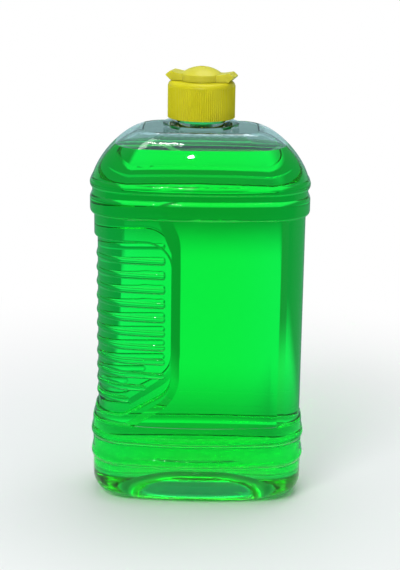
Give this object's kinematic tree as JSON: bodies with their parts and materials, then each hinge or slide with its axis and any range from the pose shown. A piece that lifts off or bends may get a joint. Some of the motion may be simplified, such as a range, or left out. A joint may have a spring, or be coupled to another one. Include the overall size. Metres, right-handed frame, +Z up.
{
  "type": "cologne bottle",
  "caption": "Flat clear plastic bottle of green cologne with a ribbed side grip, beaded bands and a yellow screw closure with a winged push-pull top.",
  "frame": {"origin": "centre of the standing ring, on the surface the bottle stands on", "axes": "+Z up along the neck, label face towards -Y, ribbed grip on the -X side"},
  "size_m": [0.107, 0.054, 0.2158],
  "materials": {
    "clear_pet": "clear gloss",
    "green_cologne": "clear liquid",
    "liner": "soft matt",
    "yellow_cap": "satin moulded",
    "yellow_top": "satin moulded"
  },
  "bodies": {
    "bottle_body": {"bottle": "clear_pet", "liquid": "green_cologne"},
    "seal": {"cap_seal": "liner"},
    "cap": {"cap_body": "yellow_cap"},
    "spout": {"pull_top": "yellow_top"}
  },
  "joints": [
    {"name": "cap_lift", "type": "slide", "parent": "bottle_body", "child": "seal", "axis": [0, 0, 1], "range_m": [0, 0.0063]},
    {"name": "cap_turn", "type": "hinge", "parent": "seal", "child": "cap", "pos_m": [0, 0, 0.2], "axis": [0, 0, 1], "range_deg": [0, 540]},
    {"name": "spout_pull", "type": "slide", "parent": "cap", "child": "spout", "axis": [0, 0, 1], "range_m": [0, 0.003]}
  ],
  "couplings": [
    {"joint": "cap_turn", "follows": "cap_lift", "rad_per_m": 1485.2}
  ]
}
